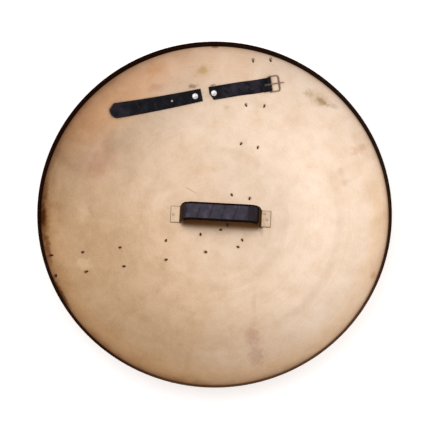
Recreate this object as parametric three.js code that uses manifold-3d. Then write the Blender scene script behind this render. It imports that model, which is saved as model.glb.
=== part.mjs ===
// A round spun-brass shield seen from its hollow back: a shallow dish with an upright hemmed lip, a
// leather-wrapped hand grip in the middle, a two-part buckled arm strap above it, and a plain
// chevron band nailed to the front, whose clinched nail points come through to the back.
// It lies on its front. +Z is the wearer's side, and the arm strap is towards +Y.

import * as THREE from 'three';
import { mergeVertices } from 'three/addons/utils/BufferGeometryUtils.js';
import Module from 'manifold-3d';

const wasm = await Module();
wasm.setup();

// Driving dimensions, in millimetres and degrees

// Dish
const shieldRadius = 305;
const wallThickness = 1.2;
const flatRadius = 106;
const bowlRise = 46;
const lipHeight = 12.8;
const lipRun = 4.8;
const creaseBend = 3.5;
const hemDepth = 8;

// Gaps between pieces that touch
const seatGap = 0.3;
const shankGap = 0.4;

// Chevron band on the front: two arms that meet in a mitre
const bandWidth = 45;
const bandThickness = 1.5;
const bandApexOffset = 48;
const bandOpening = 135.7;
const bandHalfAngle = 54.8;
const bandEndInset = 1.6;

// Nails through the band, in two rows along each arm
const upperArmRowGap = 30.7;
const sideArmRowGap = 34.7;
const nailHeadRadius = 3.8;
const nailHeadHeight = 1.4;
const nailHeadBevel = 0.5;
const nailShankRadius = 1.3;
const clinchRise = 1.7;
const clinchReach = 4.8;

// Where each nail sits along its arm, as a share of the arm's centre line, and which way its
// clinched point is turned
const upperArmInner = [[0.055, 80], [0.225, 115], [0.514, 50], [0.724, 120], [0.954, 100]];
const upperArmOuter = [[-0.013, 115], [0.219, 70], [0.506, 70], [0.732, 70], [0.969, 120]];
const sideArmInner = [[0.07, 10], [0.175, 268], [0.362, 240], [0.62, 10], [0.819, 20], [0.973, 185]];
const sideArmOuter = [[-0.005, 340], [0.161, 175], [0.378, 200], [0.606, 180], [0.807, 200], [0.973, 280]];

// Hand grip: a bent strip with its feet on the flat of the dish, and a leather wrap over its top
const gripX = 10.6;
const gripY = 3.1;
const gripTurn = -3.1;
const gripStripWidth = 29.6;
const gripStripThickness = 2;
const gripFootLength = 17;
const gripFootSpan = 142;
const gripLegLean = 4.5;
const gripLegHeight = 29;
const gripShoulderRun = 14;
const gripShoulderRise = 8;
const gripBendRadius = 3;
const wrapPadding = 3.2;
const wrapSideCover = 1.4;
const wrapEndInset = 2;
const wrapCornerRadius = 3.2;

// Arm strap, shared by its two parts
const strapThickness = 2.2;
const rivetHeadRadius = 5.5;
const rivetHeadHeight = 2.6;
const rivetTailRadius = 4.5;
const rivetTailHeight = 1.2;
const rivetShankRadius = 2;

// Long part of the strap, with the holes
const longRivetAzimuth = 99;
const longRivetInset = 80;
const longStrapHeading = 192;
const longStrapLength = 153;
const longStrapRootOverrun = 12;
const longStrapRootWidth = 22.4;
const longStrapTipWidth = 27.4;
const longStrapTipOffset = 2;
const longStrapTipChamfer = 10;
const longStrapTipRounding = 12;
const longStrapTipLift = 3;
const strapHoleRadius = 2;
const strapHoleCount = 3;
const strapFirstHole = 41.6;
const strapHoleSpacing = 30;

// Buckle part of the strap, folded round the buckle's bar
const buckleRivetAzimuth = 90.3;
const buckleRivetInset = 77.2;
const buckleRivetOffset = 2;
const buckleStrapHeading = 8.8;
const buckleStrapWidth = 24.4;
const buckleStrapRootOverrun = 8;
const buckleStrapRootChamfer = 6;
const barDistance = 98.5;
const foldDoubledLength = 15;
const foldRampLength = 8;
const foldBulgeLength = 9;
const eyeGap = 0.6;

// Buckle: a wire frame that turns on the bar in the fold, and a prong on the same bar
const barRadius = 1.3;
const farBarRadius = 1.5;
const sideWireRadius = 1;
const buckleSideGap = 0.4;
const buckleLength = 17.2;
const buckleNearCorner = 1.2;
const buckleFarCorner = 4;
const buckleRestGap = 1;
const prongLength = 26.4;
const prongWidth = 2.2;
const prongThickness = 2;
const prongRingWall = 1.3;
const prongRingGap = 0.35;
const prongRestGap = 0.3;
const prongSlotGap = 0.7;
const prongSlotBack = 8.8;

// Facets
const dishSides = 64;
const bowlSteps = 8;
const flatSteps = 1;
const creaseSteps = 2;
const bandSteps = 14;
const bandColumns = 2;
const strapStep = 20;
const roundSides = 6;
const rivetSides = 12;
const prongCurveSteps = 10;

// Sizes that follow from the driving dimensions
const creaseRadius = shieldRadius - lipRun;
const bowlRun = creaseRadius - flatRadius;
const arcRadius = (bowlRun ** 2 + bowlRise ** 2) / (2 * bowlRise);
const bandSag = ((creaseRadius / bandSteps) ** 2 + (bandWidth / bandColumns) ** 2) / (8 * arcRadius);
const bandSeat = seatGap + bandSag;
const nailStack = wallThickness + bandSeat + bandThickness + seatGap;
const floorHeight = nailStack + nailHeadHeight;
const creaseHeight = floorHeight + bowlRise;
const rimHeight = creaseHeight + lipHeight;
const barEyeRadius = barRadius + eyeGap;
const foldRadius = barEyeRadius + strapThickness;
const prongRingRadius = barRadius + prongRingGap + prongRingWall;

const radians = THREE.MathUtils.degToRad;
const vector = (x, y, z) => new THREE.Vector3(x, y, z);
const heading = (degrees) => new THREE.Vector2(Math.cos(radians(degrees)), Math.sin(radians(degrees)));

// The dish's inner surface: flat in the middle, then a round arc up to the foot of the lip
function bowlSlope(radius) {
  const along = THREE.MathUtils.clamp((radius - flatRadius) / arcRadius, 0, 0.99);
  return Math.asin(along);
}

function bowlHeight(radius) {
  return floorHeight + arcRadius * (1 - Math.cos(bowlSlope(radius)));
}

// A frame on the dish's inner surface at a plan position: its z axis is the surface's normal and its
// x axis points along a plan heading
function frameOnDish(x, y, degrees) {
  const radius = Math.hypot(x, y);
  const slope = bowlSlope(radius);
  const lean = radius > 0 ? Math.sin(slope) / radius : 0;
  const normal = vector(-lean * x, -lean * y, Math.cos(slope));
  const ahead = heading(degrees);
  const along = vector(ahead.x, ahead.y, 0);
  along.addScaledVector(normal, -along.dot(normal)).normalize();
  const across = normal.clone().cross(along);
  const frame = new THREE.Matrix4().makeBasis(along, across, normal);
  return frame.setPosition(x, y, bowlHeight(radius));
}

function pointOnDish(x, y, lift) {
  return vector(0, 0, lift).applyMatrix4(frameOnDish(x, y, 0));
}

// A closed geometry from points and triangles, with its faces pointing out
function closedBody(points, faces) {
  let volume = 0;
  for (let i = 0; i < faces.length; i += 3) {
    const [a, b, c] = [points[faces[i]], points[faces[i + 1]], points[faces[i + 2]]];
    volume += a.dot(b.clone().cross(c));
  }
  if (volume < 0) faces.reverse();
  const geometry = new THREE.BufferGeometry();
  geometry.setAttribute('position', new THREE.Float32BufferAttribute(points.flatMap((p) => [p.x, p.y, p.z]), 3));
  geometry.setIndex(faces);
  return geometry;
}

// A body through a row of rings with equal numbers of points, capped at both ends unless the row
// closes on itself
function loft(rings, closed = false) {
  const count = rings[0].length;
  const points = rings.flat();
  const faces = [];
  const rows = closed ? rings.length : rings.length - 1;
  for (let i = 0; i < rows; i++) {
    const near = i * count;
    const far = ((i + 1) % rings.length) * count;
    for (let j = 0; j < count; j++) {
      const k = (j + 1) % count;
      faces.push(near + j, near + k, far + k, near + j, far + k, far + j);
    }
  }
  if (!closed) {
    const last = (rings.length - 1) * count;
    for (const [start, turned] of [[0, true], [last, false]]) {
      const ring = points.slice(start, start + count);
      const middle = ring.reduce((sum, p) => sum.add(p), vector(0, 0, 0)).divideScalar(count);
      points.push(middle);
      for (let j = 0; j < count; j++) {
        const pair = [start + j, start + ((j + 1) % count)];
        if (turned) pair.reverse();
        faces.push(...pair, points.length - 1);
      }
    }
  }
  return closedBody(points, faces);
}

// A lathe profile of [radius, height] pairs turned about the z axis
function turned(profile, sides) {
  const points = profile.map(([radius, height]) => new THREE.Vector2(radius, height));
  return new THREE.LatheGeometry(points, sides).rotateX(Math.PI / 2);
}

// Joins and cuts
function toSolid(geometry) {
  const bare = geometry.clone();
  bare.deleteAttribute('normal');
  bare.deleteAttribute('uv');
  const merged = mergeVertices(bare, 1e-4);
  const index = merged.index.array;
  const kept = [];
  for (let i = 0; i < index.length; i += 3) {
    const [a, b, c] = index.slice(i, i + 3);
    if (a !== b && b !== c && c !== a) kept.push(a, b, c);
  }
  const position = merged.attributes.position;
  const points = Array.from({ length: position.count }, (_, i) => vector().fromBufferAttribute(position, i));
  const body = closedBody(points, kept);
  return new wasm.Manifold(new wasm.Mesh({
    numProp: 3,
    vertProperties: new Float32Array(body.attributes.position.array),
    triVerts: new Uint32Array(body.index.array),
  }));
}

function toGeometry(solid) {
  const result = solid.getMesh();
  const geometry = new THREE.BufferGeometry();
  geometry.setAttribute('position', new THREE.BufferAttribute(result.vertProperties, 3));
  geometry.setIndex(new THREE.BufferAttribute(result.triVerts, 1));
  return geometry;
}

function cut(geometry, tools) {
  const body = tools.reduce((solid, tool) => solid.subtract(toSolid(tool)), toSolid(geometry));
  return toGeometry(body);
}

// A round cutter along the z axis of a frame
function drill(frame, radius, low, high, sides = roundSides) {
  const tool = new THREE.CylinderGeometry(radius, radius, high - low, sides);
  return tool.rotateX(Math.PI / 2).translate(0, 0, (high + low) / 2).applyMatrix4(frame);
}

const materials = {
  brass: new THREE.MeshStandardMaterial({ color: 0xd9b98f, roughness: 0.42, metalness: 1 }),
  bandBronze: new THREE.MeshStandardMaterial({ color: 0x8a6238, roughness: 0.5, metalness: 1 }),
  nailIron: new THREE.MeshStandardMaterial({ color: 0x3a2a1c, roughness: 0.6, metalness: 0.8 }),
  leather: new THREE.MeshStandardMaterial({ color: 0x1b181c, roughness: 0.55, metalness: 0 }),
  wrapLeather: new THREE.MeshStandardMaterial({ color: 0x35323d, roughness: 0.5, metalness: 0 }),
  nickel: new THREE.MeshStandardMaterial({ color: 0xe6e4e2, roughness: 0.2, metalness: 1 }),
  buckleSteel: new THREE.MeshStandardMaterial({ color: 0x9a8270, roughness: 0.35, metalness: 1 }),
};

const shield = new THREE.Group();

function addPiece(name, geometry, material) {
  const piece = new THREE.Mesh(geometry, material);
  piece.name = name;
  shield.add(piece);
}

// Nails: each row lies to one side of an arm's centre line
const bandApex = heading(bandOpening).multiplyScalar(-bandApexOffset);
const bandArms = [
  { along: heading(bandOpening - bandHalfAngle), out: heading(bandOpening - bandHalfAngle - 90) },
  { along: heading(bandOpening + bandHalfAngle), out: heading(bandOpening + bandHalfAngle + 90) },
];

// How far an arm runs from the apex to the circle where the band stops, at a distance from the
// arm's centre line that is positive on the outside of the chevron
function armReach(arm, side) {
  const foot = -bandApex.dot(arm.along);
  const miss = bandApex.dot(arm.out) + side;
  return foot + Math.sqrt((creaseRadius - bandEndInset) ** 2 - miss ** 2);
}

function armPoint(arm, distance, side) {
  return bandApex.clone().addScaledVector(arm.along, distance).addScaledVector(arm.out, side);
}

const nailRows = [
  [bandArms[0], -upperArmRowGap / 2, upperArmInner],
  [bandArms[0], upperArmRowGap / 2, upperArmOuter],
  [bandArms[1], -sideArmRowGap / 2, sideArmInner],
  [bandArms[1], sideArmRowGap / 2, sideArmOuter],
];

const nails = nailRows.flatMap(([arm, side, marks]) => marks.map(([share, lean]) => {
  const place = armPoint(arm, share * armReach(arm, 0), side);
  return frameOnDish(place.x, place.y, lean);
}));

// A ring of a round section whose path lies in the x-z plane and runs at an angle to the x axis
function pathRing(x, z, degrees, radius, sides = roundSides) {
  const across = vector(-Math.sin(radians(degrees)), 0, Math.cos(radians(degrees)));
  return Array.from({ length: sides }, (_, i) => {
    const turn = (2 * Math.PI * i) / sides;
    const point = vector(x, radius * Math.sin(turn), z);
    return point.addScaledVector(across, radius * Math.cos(turn));
  });
}

// A nail from its flat head on the front to its bent point on the back
function nail() {
  const seat = -nailStack;
  const bent = clinchRise - nailShankRadius;
  return loft([
    pathRing(0, seat - nailHeadHeight, 90, nailHeadRadius - nailHeadBevel),
    pathRing(0, seat - nailHeadHeight + nailHeadBevel, 90, nailHeadRadius),
    pathRing(0, seat, 90, nailHeadRadius),
    pathRing(0, seat, 90, nailShankRadius),
    pathRing(0, bent, 90, nailShankRadius),
    pathRing(nailShankRadius / 2, clinchRise - nailShankRadius / 3, 45, nailShankRadius),
    pathRing(clinchReach / 2, clinchRise, -5, nailShankRadius * 0.75),
    pathRing(clinchReach, clinchRise * 0.6, -20, nailShankRadius * 0.2),
  ]);
}

nails.forEach((frame, i) => {
  const name = `band_nail_${String(i + 1).padStart(2, '0')}`;
  addPiece(name, nail().applyMatrix4(frame), materials.nailIron);
});

// Rivets that hold the strap's two parts
function strapLift(width) {
  return seatGap + (width / 2) ** 2 / (2 * arcRadius) + wallThickness / 8;
}

const longSeat = strapLift(longStrapTipWidth);
const buckleSeat = strapLift(buckleStrapWidth);
const longRivet = heading(longRivetAzimuth).multiplyScalar(creaseRadius - longRivetInset);
const buckleRivet = heading(buckleRivetAzimuth).multiplyScalar(creaseRadius - buckleRivetInset);
const buckleStrapStart = heading(buckleStrapHeading + 90).multiplyScalar(-buckleRivetOffset).add(buckleRivet);
const longRivetFrame = frameOnDish(longRivet.x, longRivet.y, longStrapHeading);
const buckleRivetFrame = frameOnDish(buckleRivet.x, buckleRivet.y, buckleStrapHeading);

function rivet(strapSeat) {
  const tail = -wallThickness - seatGap;
  const base = strapSeat + strapThickness + seatGap;
  const dome = Array.from({ length: 5 }, (_, i) => {
    const turn = (Math.PI / 2) * (i / 4);
    return [rivetHeadRadius * Math.cos(turn), base + 0.4 + (rivetHeadHeight - 0.4) * Math.sin(turn)];
  });
  dome[4][0] = 0;
  return turned([
    [0, tail - rivetTailHeight],
    [rivetTailRadius - 0.4, tail - rivetTailHeight],
    [rivetTailRadius, tail - rivetTailHeight + 0.4],
    [rivetTailRadius, tail],
    [rivetShankRadius, tail],
    [rivetShankRadius, base],
    [rivetHeadRadius, base],
    ...dome,
  ], rivetSides);
}

addPiece('strap_rivet_long', toGeometry(toSolid(rivet(longSeat).applyMatrix4(longRivetFrame))), materials.nickel);
addPiece('strap_rivet_buckle', toGeometry(toSolid(rivet(buckleSeat).applyMatrix4(buckleRivetFrame))), materials.nickel);

// Dish: the sheet's inner face outwards to the lip's top, then its outer face back to the middle
function dish() {
  const lipInnerTop = shieldRadius - 2 * wallThickness;
  const lipAngle = Math.atan2(lipHeight, lipInnerTop - creaseRadius);
  const bowlAngle = bowlSlope(creaseRadius);
  const halfTurn = (lipAngle - bowlAngle) / 2;
  const inner = [];
  for (let i = 0; i < flatSteps; i++) inner.push([(flatRadius * i) / flatSteps, 0]);
  for (let i = 0; i <= bowlSteps; i++) {
    inner.push([flatRadius + ((bowlRun - creaseBend) * i) / bowlSteps, 1]);
  }
  const shell = (depth) => inner.map(([radius]) => {
    const slope = bowlSlope(radius);
    return [radius + depth * Math.sin(slope), bowlHeight(radius) - depth * Math.cos(slope)];
  });
  const bend = (depth) => {
    const corner = new THREE.Vector2(creaseRadius, creaseHeight);
    const middle = bowlAngle + halfTurn;
    const offset = new THREE.Vector2(Math.sin(middle), -Math.cos(middle));
    corner.addScaledVector(offset, depth / Math.cos(halfTurn));
    const start = shell(depth).at(-1);
    const lip = new THREE.Vector2(Math.cos(lipAngle), Math.sin(lipAngle));
    const curve = new THREE.QuadraticBezierCurve(
      new THREE.Vector2(...start), corner, corner.clone().addScaledVector(lip, creaseBend));
    return curve.getPoints(creaseSteps).slice(1).map((p) => [p.x, p.y]);
  };
  const lean = (lipInnerTop - creaseRadius) / lipHeight;
  const hemFoot = shieldRadius - hemDepth * lean;
  const sheetOut = wallThickness / Math.sin(lipAngle);
  return turned([
    ...shell(0),
    ...bend(0),
    [lipInnerTop, rimHeight],
    [shieldRadius, rimHeight],
    [hemFoot, rimHeight - hemDepth],
    [lipInnerTop + sheetOut - hemDepth * lean, rimHeight - hemDepth],
    ...bend(wallThickness).reverse(),
    ...shell(wallThickness).reverse(),
  ], dishSides);
}

const nailHole = nailShankRadius + shankGap;
const rivetHole = rivetShankRadius + shankGap;
const dishCuts = [
  ...nails.map((frame) => drill(frame, nailHole, -4 * wallThickness, 2 * wallThickness)),
  ...[longRivetFrame, buckleRivetFrame].map((frame) => drill(frame, rivetHole, -4 * wallThickness, 2 * wallThickness)),
];
addPiece('shield_bowl', cut(dish(), dishCuts), materials.brass);

// Front band: one strip from the end of one arm, round the mitre, to the end of the other
function band() {
  const upper = -wallThickness - bandSeat;
  const lower = upper - bandThickness;
  const sides = Array.from({ length: bandColumns + 1 }, (_, i) => bandWidth * (i / bandColumns - 0.5));
  const station = (arm, share) => {
    const row = (lift) => sides.map((side) => {
      const start = -side / Math.tan(radians(bandHalfAngle));
      const place = armPoint(arm, THREE.MathUtils.lerp(start, armReach(arm, side), share), side);
      return pointOnDish(place.x, place.y, lift);
    });
    return [...row(upper), ...row(lower).reverse()];
  };
  const shares = Array.from({ length: bandSteps + 1 }, (_, i) => i / bandSteps);
  return loft([
    ...shares.slice(1).reverse().map((share) => station(bandArms[1], share)),
    ...shares.map((share) => station(bandArms[0], share)),
  ]);
}

const bandCuts = nails.map((frame) => drill(frame, nailHole, -nailStack - wallThickness, 0));
addPiece('front_band', cut(band(), bandCuts), materials.bandBronze);

// Hand grip: the path of the strip's middle, from one foot's end over the top to the other's
function gripPath(start) {
  const footSpan = gripFootSpan / 2;
  const legTop = footSpan - gripLegLean;
  const mid = gripStripThickness / 2;
  const half = [
    [footSpan + gripFootLength, mid],
    [footSpan, mid],
    [legTop, gripLegHeight],
    [legTop - gripShoulderRun, gripLegHeight + gripShoulderRise],
  ];
  const side = half.map(([x, z]) => new THREE.Vector2(x, z));
  if (start > 0) {
    const edge = side[3].clone().sub(side[2]).setLength(start).add(side[2]);
    side.splice(0, 3, edge);
  }
  const mirrored = side.map((p) => new THREE.Vector2(-p.x, p.y));
  return [...mirrored, ...side.reverse()];
}

// Corners of a path rounded to a bend radius, in steps
function rounded(path, radius, steps = 2) {
  return path.flatMap((corner, i) => {
    if (i === 0 || i === path.length - 1) return [corner];
    const back = path[i - 1].clone().sub(corner);
    const ahead = path[i + 1].clone().sub(corner);
    const turn = Math.PI - Math.abs(back.angleTo(ahead));
    const reach = radius * Math.tan(turn / 2);
    const from = corner.clone().add(back.setLength(reach));
    const to = corner.clone().add(ahead.setLength(reach));
    return new THREE.QuadraticBezierCurve(from, corner, to).getPoints(steps);
  });
}

// A section of [across, out] pairs carried along a path in the x-z plane
function sweep(path, section) {
  return loft(path.map((p, i) => {
    const before = path[Math.max(i - 1, 0)];
    const after = path[Math.min(i + 1, path.length - 1)];
    const inward = p.clone().sub(before).normalize();
    const onward = after.clone().sub(p).normalize();
    const direction = i === 0 ? onward : i === path.length - 1 ? inward : inward.clone().add(onward).normalize();
    const stretch = 1 / Math.max(Math.abs(direction.dot(i === 0 ? onward : inward)), 0.3);
    const out = new THREE.Vector2(-direction.y, direction.x).multiplyScalar(stretch);
    return section.map(([across, rise]) => vector(p.x + out.x * rise, across, p.y + out.y * rise));
  }));
}

function boxSection(width, thickness) {
  return [[-1, -1], [1, -1], [1, 1], [-1, 1]].map(([a, b]) => [(a * width) / 2, (b * thickness) / 2]);
}

function roundSection(width, thickness, radius) {
  const corners = [[1, 1, 0], [-1, 1, 90], [-1, -1, 180], [1, -1, 270]];
  return corners.flatMap(([a, b, start]) => [0, 45, 90].map((turn) => {
    const direction = heading(start + turn);
    return [
      a * (width / 2 - radius) + radius * direction.x,
      b * (thickness / 2 - radius) + radius * direction.y,
    ];
  }));
}

// The feet rest on the highest part of the dish that they cover
const footCorner = vector(gripFootSpan / 2 + gripFootLength, gripStripWidth / 2, 0).length();
const gripSeat = bowlHeight(footCorner + Math.hypot(gripX, gripY)) + seatGap;
const gripFrame = new THREE.Matrix4().makeRotationZ(radians(gripTurn)).setPosition(gripX, gripY, gripSeat);
const gripBracket = sweep(rounded(gripPath(0), gripBendRadius), boxSection(gripStripWidth, gripStripThickness));
addPiece('grip_bracket', gripBracket.applyMatrix4(gripFrame), materials.brass);

const wrapWidth = gripStripWidth + 2 * (seatGap + wrapSideCover);
const wrapThickness = gripStripThickness + 2 * (seatGap + wrapPadding);
const wrapBore = boxSection(gripStripWidth + 2 * seatGap, gripStripThickness + 2 * seatGap);
const wrapOuter = sweep(
  rounded(gripPath(wrapEndInset), gripBendRadius * 3, 3),
  roundSection(wrapWidth, wrapThickness, wrapCornerRadius));
const wrapTool = sweep(rounded(gripPath(wrapEndInset / 4), gripBendRadius), wrapBore);
addPiece('grip_wrap', cut(wrapOuter, [wrapTool]).applyMatrix4(gripFrame), materials.wrapLeather);

// A strap lofted from straight cross lines: each station gives its plan distance from the rivet, its
// two edges, and its lower and upper face above the strap's seat
function strap(start, degrees, seat, stations) {
  const ahead = heading(degrees);
  return loft(stations.map(({ at, left, right, low, high }) => {
    const place = start.clone().addScaledVector(ahead, at);
    const frame = frameOnDish(place.x, place.y, degrees);
    const corners = [[right, low], [left, low], [left, high], [right, high]];
    return corners.map(([side, lift]) => vector(0, side, seat + lift).applyMatrix4(frame));
  }));
}

function strapFrame(start, degrees, at) {
  const place = start.clone().addScaledVector(heading(degrees), at);
  return frameOnDish(place.x, place.y, degrees);
}

function evenSteps(from, to, step) {
  const count = Math.max(1, Math.round((to - from) / step));
  return Array.from({ length: count }, (_, i) => from + ((to - from) * (i + 1)) / count);
}

// Long part: widens to a tip that is cut straight on one side and rounded on the other
function longStrap() {
  const root = -longStrapRootOverrun;
  const shoulder = longStrapLength - longStrapTipRounding;
  const tipHalf = 2;
  const halfWidth = (at) => {
    const share = (at - root) / (longStrapLength - root);
    return THREE.MathUtils.lerp(longStrapRootWidth, longStrapTipWidth, share) / 2;
  };
  const lift = (at) => longStrapTipLift * Math.max(at / longStrapLength, 0) ** 3;
  const station = (at) => {
    const toTip = longStrapLength - at;
    const full = halfWidth(at);
    const cutShare = Math.min(toTip / longStrapTipChamfer, 1);
    const roundShare = Math.min(toTip / longStrapTipRounding, 1);
    const straight = longStrapTipOffset + tipHalf + (full - longStrapTipOffset - tipHalf) * cutShare;
    const roundSide = tipHalf - longStrapTipOffset
      + (full - tipHalf + longStrapTipOffset) * Math.sqrt(1 - (1 - roundShare) ** 2);
    return { at, left: roundSide, right: -straight, low: lift(at), high: lift(at) + strapThickness };
  };
  const tipStations = [0, 0.25, 0.5, 0.7, 0.85, 0.95, 1].map((share) => shoulder + longStrapTipRounding * share);
  const places = [root, ...evenSteps(root, shoulder, strapStep).slice(0, -1), ...tipStations];
  return strap(longRivet, longStrapHeading, longSeat, places.map(station));
}

const longStrapCuts = [
  drill(longRivetFrame, rivetHole, -strapThickness, 4 * strapThickness, rivetSides),
  ...Array.from({ length: strapHoleCount }, (_, i) => {
    const frame = strapFrame(longRivet, longStrapHeading, strapFirstHole + i * strapHoleSpacing);
    return drill(frame, strapHoleRadius, -strapThickness, 4 * strapThickness + longStrapTipLift);
  }),
];
addPiece('strap_long', cut(longStrap(), longStrapCuts), materials.leather);

// Buckle part: doubled back under itself, bulging round the bar
function buckleStrap() {
  const root = -buckleStrapRootOverrun;
  const half = buckleStrapWidth / 2;
  const foldEnd = barDistance + foldRadius;
  const doubled = foldEnd - foldDoubledLength;
  const ramp = doubled - foldRampLength;
  const bulge = barDistance - foldBulgeLength;
  const plain = (at, high) => ({ at, left: half, right: -half, low: 0, high });
  const bulging = Array.from({ length: 4 }, (_, i) => {
    const share = (i + 1) / 4;
    const rise = (1 - Math.cos(Math.PI * share)) / 2;
    return plain(bulge + foldBulgeLength * share, THREE.MathUtils.lerp(2 * strapThickness, 2 * foldRadius, rise));
  });
  const end = [20, 40, 58, 75].map((degrees) => {
    const turn = radians(degrees);
    const thick = foldRadius * Math.cos(turn);
    const at = barDistance + foldRadius * Math.sin(turn);
    return { at, left: half, right: -half, low: foldRadius - thick, high: foldRadius + thick };
  });
  return strap(buckleStrapStart, buckleStrapHeading, buckleSeat, [
    { at: root, left: half, right: 0, low: 0, high: strapThickness },
    plain(root + buckleStrapRootChamfer, strapThickness),
    ...evenSteps(root + buckleStrapRootChamfer, ramp, strapStep).map((at) => plain(at, strapThickness)),
    ...(bulge > doubled ? [plain(doubled, 2 * strapThickness)] : []),
    plain(bulge, 2 * strapThickness),
    ...bulging,
    ...end,
  ]);
}

// The bar's frame: x along the strap, y along the bar, z away from the dish
const barFrame = strapFrame(buckleStrapStart, buckleStrapHeading, barDistance)
  .multiply(new THREE.Matrix4().makeTranslation(0, 0, buckleSeat + foldRadius));
const eye = new THREE.CylinderGeometry(barEyeRadius, barEyeRadius, buckleStrapWidth * 1.5, rivetSides);
const slotWidth = prongWidth + 2 * prongSlotGap;
const slotLength = prongSlotBack + 2 * foldRadius;
const slot = new THREE.BoxGeometry(slotLength, slotWidth, 4 * foldRadius)
  .translate(slotLength / 2 - prongSlotBack, 0, 0);
const buckleStrapCuts = [
  drill(buckleRivetFrame, rivetHole, -strapThickness, 4 * strapThickness, rivetSides),
  eye.applyMatrix4(barFrame),
  slot.applyMatrix4(barFrame),
];
addPiece('strap_buckle', cut(buckleStrap(), buckleStrapCuts), materials.leather);

// Buckle frame: a closed wire loop whose near bar lies on the y axis, tilted down to the dish
function buckleLoop() {
  const half = buckleStrapWidth / 2 + buckleSideGap + sideWireRadius;
  const corner = (x, y, radius, start, near, far) => [0, 30, 60, 90].map((turn, i) => {
    const direction = heading(start + turn);
    const wire = THREE.MathUtils.lerp(near, far, i / 3);
    return { x: x + radius * direction.x, y: y + radius * direction.y, direction, wire };
  });
  const far = buckleLength - buckleFarCorner;
  const loop = [
    ...corner(far, half - buckleFarCorner, buckleFarCorner, 0, farBarRadius, sideWireRadius),
    ...corner(buckleNearCorner, half - buckleNearCorner, buckleNearCorner, 90, sideWireRadius, barRadius),
    ...corner(buckleNearCorner, buckleNearCorner - half, buckleNearCorner, 180, barRadius, sideWireRadius),
    ...corner(far, buckleFarCorner - half, buckleFarCorner, 270, sideWireRadius, farBarRadius),
  ];
  return loft(loop.map(({ x, y, direction, wire }) => Array.from({ length: roundSides }, (_, i) => {
    const turn = (2 * Math.PI * (i + 0.5)) / roundSides;
    const out = wire * Math.cos(turn);
    return vector(x + out * direction.x, y + out * direction.y, wire * Math.sin(turn));
  })), true);
}

const barHeight = buckleSeat + foldRadius;
const farBarHeight = farBarRadius + buckleRestGap;
const buckleTilt = Math.asin((barHeight - farBarHeight) / buckleLength);
const buckleFrame = barFrame.clone().multiply(new THREE.Matrix4().makeRotationY(buckleTilt));
addPiece('buckle_frame', buckleLoop().applyMatrix4(buckleFrame), materials.buckleSteel);

// Prong: a ring round the bar and a tapered finger that rests on the far bar
function prong() {
  const half = prongThickness / 2;
  const rootTurn = Math.asin(half / prongRingRadius);
  const outline = new THREE.Shape();
  outline.absarc(0, 0, prongRingRadius, rootTurn, 2 * Math.PI - rootTurn, false);
  outline.lineTo(prongLength - half, -half / 2);
  outline.lineTo(prongLength, 0);
  outline.lineTo(prongLength - half, half / 2);
  outline.closePath();
  const hole = new THREE.Path();
  hole.absarc(0, 0, barRadius + prongRingGap, 0, 2 * Math.PI, true);
  outline.holes.push(hole);
  const plate = new THREE.ExtrudeGeometry(outline, { depth: prongWidth, bevelEnabled: false, curveSegments: prongCurveSteps });
  return plate.translate(0, 0, -prongWidth / 2).rotateX(Math.PI / 2);
}

const prongLow = farBarHeight + farBarRadius + prongRestGap + prongThickness / 2;
const prongTilt = -Math.asin((prongLow - barHeight) / buckleLength);
const prongFrame = barFrame.clone().multiply(new THREE.Matrix4().makeRotationY(prongTilt));
addPiece('buckle_prong', toGeometry(toSolid(prong().applyMatrix4(prongFrame))), materials.buckleSteel);

export default shield;
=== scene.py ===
import math

import bmesh
import bpy
import numpy as np
from mathutils import Matrix, Vector


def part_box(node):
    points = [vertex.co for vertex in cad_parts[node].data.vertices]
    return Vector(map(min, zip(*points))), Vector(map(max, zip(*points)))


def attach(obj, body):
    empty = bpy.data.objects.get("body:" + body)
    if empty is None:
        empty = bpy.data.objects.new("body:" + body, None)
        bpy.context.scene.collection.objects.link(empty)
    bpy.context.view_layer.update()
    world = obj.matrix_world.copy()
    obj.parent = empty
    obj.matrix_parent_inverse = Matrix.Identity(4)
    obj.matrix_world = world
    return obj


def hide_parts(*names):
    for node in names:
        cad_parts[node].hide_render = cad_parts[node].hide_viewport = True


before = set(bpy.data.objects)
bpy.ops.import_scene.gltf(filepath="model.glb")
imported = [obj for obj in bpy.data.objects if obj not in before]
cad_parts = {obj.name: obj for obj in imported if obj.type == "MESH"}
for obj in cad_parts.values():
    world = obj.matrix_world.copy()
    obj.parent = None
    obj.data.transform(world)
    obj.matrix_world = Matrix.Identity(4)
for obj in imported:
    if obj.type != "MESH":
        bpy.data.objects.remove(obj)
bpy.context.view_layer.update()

# Everything is worked out in millimetres and put into the meshes in metres
mm = 0.001
bowlHigh = np.array(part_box("shield_bowl")[1]) / mm


# The dish: a flat middle, a round arc, a short bend, and an upright lip with a folded hem
dishShape = {
    "radius": bowlHigh[0],
    "rimHeight": bowlHigh[2],
    "wall": 1.2,
    "flatRadius": 106,
    "lipHeight": 12.8,
    "lipRun": 4.8,
    "bend": 3.5,
    "hemDepth": 8,
    "hemCorner": 0.5,
    "rise": 46,
    "around": 400,
    "waviness": 0.09,
    "waveLength": 70,
    "waveEnd": (270, 296),
    "lipFrom": 290,
}
creaseRadius = dishShape["radius"] - dishShape["lipRun"]
creaseHeight = dishShape["rimHeight"] - dishShape["lipHeight"]
floorHeight = creaseHeight - dishShape["rise"]
bowlRun = creaseRadius - dishShape["flatRadius"]
arcRadius = (bowlRun ** 2 + dishShape["rise"] ** 2) / (2 * dishShape["rise"])


def bowlSlope(radius):
    # the slope's sine grows evenly with the distance past the flat middle
    return np.arcsin(np.clip((np.asarray(radius, float) - dishShape["flatRadius"]) / arcRadius, 0, 0.99))


def bowlHeight(radius):
    # a round arc that leaves the flat middle level
    return floorHeight + arcRadius * (1 - np.cos(bowlSlope(radius)))


def heading(degrees):
    turn = math.radians(degrees)
    return np.array([math.cos(turn), math.sin(turn), 0.0])


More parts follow.
